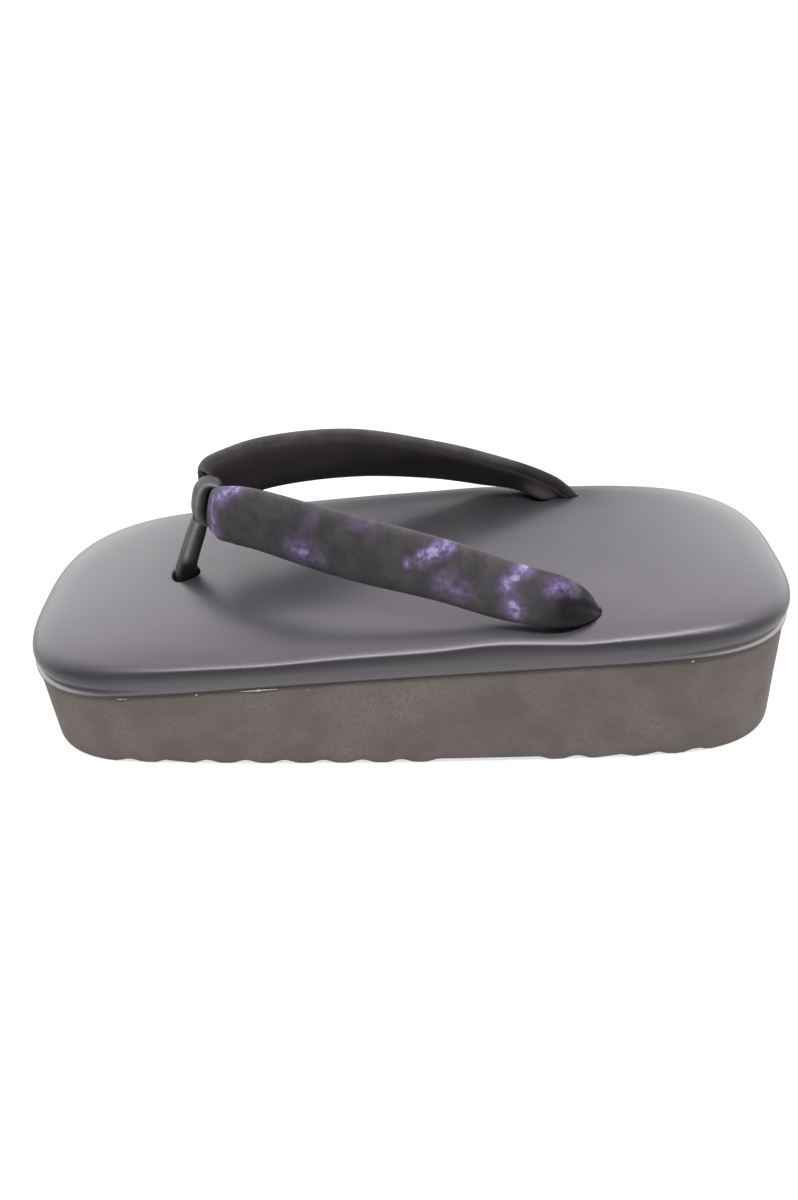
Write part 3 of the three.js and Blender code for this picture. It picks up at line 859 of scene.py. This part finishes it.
def makeFootbed(strapTree):
    stations = outlineStations(footbedPad["capSteps"], footbedPad["spacing"])
    sideRows = [Vector((*row["side"], 0)) for row in edgeProfile]
    endRows = [Vector((*row["end"], 0)) for row in edgeProfile]
    steps = (len(edgeProfile) - 1) * footbedPad["profileSteps"]
    rings, paintedLight = [], []
    for k in range(steps + 1):
        sidePlace, endPlace = curveAt(sideRows, k / steps)[0], curveAt(endRows, k / steps)[0]
        edges = [sidePlace.lerp(endPlace, smooth(*footbedPad["endBlend"], abs(x))) for x in stations]
        near = [coverPoint(x, edge.x, edge.y, 1) for x, edge in zip(stations, edges)]
        far = [coverPoint(x, edge.x, edge.y, -1) for x, edge in zip(stations, edges)]
        rings.append(near + far[-2:0:-1])
        paintedLight += [paintedLightAt(k / footbedPad["profileSteps"], p.x) for p in rings[-1]]
    piece = meshFromRings("footbed_cover", rings, footbedPad["sharp"])
    paintPoints(piece, "paintedLight", paintedLight)
    pressCover(piece, strapTree)
    return piece


def vinylMaterial():
    material, tree, shader = newMaterial("footbed_vinyl", {
        "IOR": 1.5, "Specular Tint": (0.98, 0.89, 1.0, 1.0)})
    handling = cloudMask(tree, *vinylLook["handling"])
    tone = colourMix(tree, handling, vinylLook["dark"], vinylLook["light"])
    # painted highlight on the lip at toe and heel and painted light on the side band
    feed(tree, shader.inputs["Base Color"], colourMix(tree, painted(tree, "paintedLight"), tone, vinylLook["paintedLight"]))
    worn = mathNode(tree, "ADD", handling, cloudMask(tree, *vinylLook["scuffs"]))
    feed(tree, shader.inputs["Roughness"], rangeNode(tree, worn, 0.0, 2.0, *vinylLook["roughness"]))
    addRelief(tree, shader, leatherGrain(tree, vinylLook["grain"]), *vinylLook["relief"])
    return material


def treeOf(piece):
    mesh = piece.data
    return BVHTree.FromPolygons([v.co for v in mesh.vertices], [tuple(p.vertices) for p in mesh.polygons])


def finishPiece(piece, node, material):
    piece.data.materials.append(material)
    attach(piece, "root")
    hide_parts(node)


finishPiece(makeSole(), "sole", foamMaterial())
finishPiece(makeGlue(), "sole", glueMaterial())
print("sole made")
strapPiece, bandStations = makeStrap()
finishPiece(strapPiece, "strap", velvetMaterial())
finishPiece(makeLining(bandStations), "strap", liningMaterial())
print("strap made")
leather = thongMaterial()
finishPiece(makeLoop(), "front_thong", leather)
finishPiece(makeStalk(), "front_thong", leather)
print("thong made")
finishPiece(makeFootbed(treeOf(strapPiece)), "footbed", vinylMaterial())
print("footbed made")

# plain pale floor
floorSize = 6.0
floorLook = {
    "Base Color": (0.15, 0.15, 0.15, 1), "Roughness": 0.9,
    "Emission Color": (1, 1, 1, 1), "Emission Strength": 0.7,
}
floorMesh = bpy.data.meshes.new("floor")
floorMesh.from_pydata([(-floorSize, -floorSize, 0), (floorSize, -floorSize, 0), (floorSize, floorSize, 0),
                       (-floorSize, floorSize, 0)], [], [(0, 1, 2, 3)])
floor = bpy.data.objects.new("floor", floorMesh)
scene.collection.objects.link(floor)
floorMesh.materials.append(newMaterial("floor_white", floorLook)[0])

# soft light: a bright sweep behind the sandal in a dim room, and a long softbox overhead
studio = {
    "sweepToward": (0.0, -0.98, 0.2), "facing": (-0.15, 0.6), "room": 0.4, "sweep": 4.0, "backdrop": 1.3,
}
# a soft dark flag in front of the sweep, so that the cover between the arms of the strap mirrors less light
flag = {"halfWidth": (0.12, 0.40), "top": (0.50, 0.60), "shade": 0.95}
softbox = {
    "place": (-0.05, 0.33, 1.3), "target": (0.0, 0.0, 0.0), "length": 1.6, "width": 0.1, "power": 34.0,
}
world = bpy.data.worlds.new("studio")
scene.world = world
world.use_nodes = True
sky = world.node_tree
toward = addNode(sky, "ShaderNodeTexCoord").outputs["Generated"]
facing = addNode(sky, "ShaderNodeVectorMath", {0: toward, 1: studio["sweepToward"]}, operation="DOT_PRODUCT")
level = rangeNode(sky, facing.outputs["Value"], *studio["facing"], studio["room"], studio["sweep"])
axes = addNode(sky, "ShaderNodeSeparateXYZ", {0: toward}).outputs
flagAcross = rangeNode(sky, mathNode(sky, "ABSOLUTE", axes["X"]), *flag["halfWidth"], 1.0, 0.0)
flagUp = rangeNode(sky, axes["Z"], *flag["top"], flag["shade"], 0.0)
flagBehind = mathNode(sky, "LESS_THAN", axes["Y"], 0.0)
flagShade = mathNode(sky, "MULTIPLY", mathNode(sky, "MULTIPLY", flagAcross, flagUp), flagBehind)
shaded = mathNode(sky, "MULTIPLY", level, mathNode(sky, "SUBTRACT", 1.0, flagShade))
ray = addNode(sky, "ShaderNodeLightPath")
seen = addNode(sky, "ShaderNodeMix", {0: ray.outputs["Is Camera Ray"], 2: shaded, 3: studio["backdrop"]})
sky.nodes["Background"].inputs["Color"].default_value = (1, 1, 1, 1)
feed(sky, sky.nodes["Background"].inputs["Strength"], seen.outputs[0])
lamp = bpy.data.lights.new("overhead", "AREA")
lamp.shape = "RECTANGLE"
lamp.size, lamp.size_y = softbox["length"], softbox["width"]
lamp.energy = softbox["power"]
lampBox = bpy.data.objects.new("overhead", lamp)
lampBox.location = softbox["place"]
lampAim = Vector(softbox["target"]) - Vector(softbox["place"])
lampBox.rotation_euler = lampAim.to_track_quat("-Z", "Y").to_euler()
scene.collection.objects.link(lampBox)

# camera at the photograph's angle: lengths in mm, angles in degrees, focal length in pixels of the picture
view = {"focal": 870.0, "imageHeight": 1200.0, "sensor": 36.0, "elevation": 38.67, "yaw": 0.36, "roll": -0.16,
        "distance": 302.83, "target": (1.78, 0.0, 29.05), "clip": 10.0}
camera = bpy.data.objects.new("camera", bpy.data.cameras.new("camera"))
camera.data.lens = view["focal"] / view["imageHeight"] * view["sensor"]
camera.data.sensor_width = view["sensor"]
camera.data.clip_start = view["clip"] * mm
elevation, yaw, roll = (math.radians(view[k]) for k in ("elevation", "yaw", "roll"))
back = Vector((math.sin(yaw) * math.cos(elevation), math.cos(yaw) * math.cos(elevation), math.sin(elevation)))
right = Vector((-math.cos(yaw), math.sin(yaw), 0))
up = back.cross(right)
right, up = right * math.cos(roll) + up * math.sin(roll), up * math.cos(roll) - right * math.sin(roll)
eye = (Vector(view["target"]) + Vector((middleShift, 0, 0)) + back * view["distance"]) * mm
camera.matrix_world = Matrix.Translation(eye) @ Matrix((right, up, back)).transposed().to_4x4()
scene.collection.objects.link(camera)
scene.camera = camera
scene.view_settings.view_transform = "Standard"
print("stage made")
